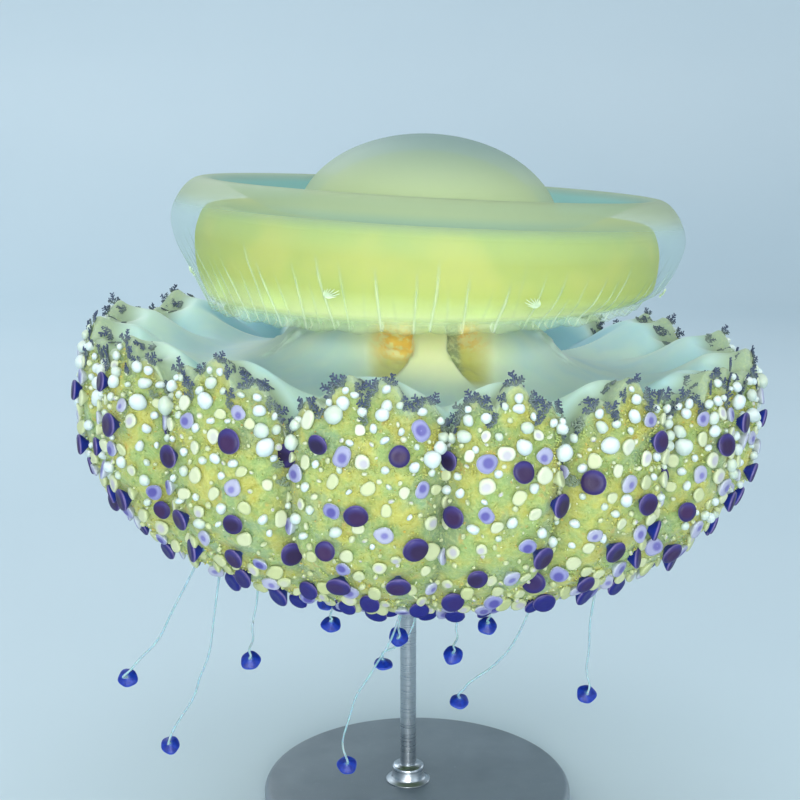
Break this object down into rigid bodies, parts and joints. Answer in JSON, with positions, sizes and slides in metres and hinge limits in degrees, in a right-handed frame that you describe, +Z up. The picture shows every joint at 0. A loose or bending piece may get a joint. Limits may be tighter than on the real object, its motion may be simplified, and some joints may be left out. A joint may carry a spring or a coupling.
{
  "type": "fried-egg jellyfish on a display stand",
  "caption": "Still, life-size fried-egg jellyfish with a domed bell drawn in over a bowl of frilled, button-studded mouth-arms, on a plain stand.",
  "frame": {"origin": "centre of the underside of the stand's round base", "axes": "+Z up, -Y towards the viewer of the picture, +X to that viewer's right; the animal leans 3 degrees towards +X"},
  "size_m": [0.1979, 0.1981, 0.2085],
  "materials": {
    "bell_gel": "clear, wet, grey-green jelly",
    "yolk_flesh": "cloudy yellow-green jelly with fine pale ribs",
    "arm_gel": "smooth blue-grey jelly",
    "frill": "yellow-green cauliflower-like frill with white, cream, lavender and purple buttons",
    "navy_disc": "smooth royal-blue disc",
    "thread_gel": "thin clear blue-grey thread",
    "stand_paint": "pale grey satin paint",
    "stand_steel": "brushed steel rod"
  },
  "bodies": {
    "root": {"arm_frill_1": "frill", "arm_frill_2": "frill", "arm_frill_3": "frill", "arm_frill_4": "frill", "arm_frill_5": "frill", "arm_frill_6": "frill", "arm_frill_7": "frill", "arm_frill_8": "frill", "bell_dome": "bell_gel", "bell_margin_1": "yolk_flesh", "bell_margin_2": "yolk_flesh", "bell_margin_3": "yolk_flesh", "bell_margin_4": "yolk_flesh", "bell_margin_5": "yolk_flesh", "bell_margin_6": "yolk_flesh", "bell_margin_7": "yolk_flesh", "bell_margin_8": "yolk_flesh", "bell_rim_1": "bell_gel", "bell_rim_2": "bell_gel", "bell_rim_3": "bell_gel", "bell_rim_4": "bell_gel", "bell_rim_5": "bell_gel", "bell_rim_6": "bell_gel", "bell_rim_7": "bell_gel", "bell_rim_8": "bell_gel", "filament_1_disc": "navy_disc", "filament_1_thread": "thread_gel", "filament_2_disc": "navy_disc", "filament_2_thread_1": "thread_gel", "filament_2_thread_2": "thread_gel", "filament_3_disc": "navy_disc", "filament_3_thread": "thread_gel", "filament_4_disc": "navy_disc", "filament_4_thread_1": "thread_gel", "filament_4_thread_2": "thread_gel", "filament_5_disc": "navy_disc", "filament_5_thread": "thread_gel", "filament_6_disc": "navy_disc", "filament_6_thread": "thread_gel", "filament_7_disc": "navy_disc", "filament_7_thread": "thread_gel", "filament_8_disc": "navy_disc", "filament_8_thread": "thread_gel", "filament_9_disc": "navy_disc", "filament_9_thread": "thread_gel", "oral_arm_1": "arm_gel", "oral_arm_2": "arm_gel", "oral_arm_3": "arm_gel", "oral_arm_4": "arm_gel", "oral_arm_5": "arm_gel", "oral_arm_6": "arm_gel", "oral_arm_7": "arm_gel", "oral_arm_8": "arm_gel", "pillar_1": "yolk_flesh", "pillar_2": "yolk_flesh", "pillar_3": "yolk_flesh", "pillar_4": "yolk_flesh", "stand_base": "stand_paint", "stand_rod": "stand_steel", "trunk": "yolk_flesh"}
  },
  "joints": []
}
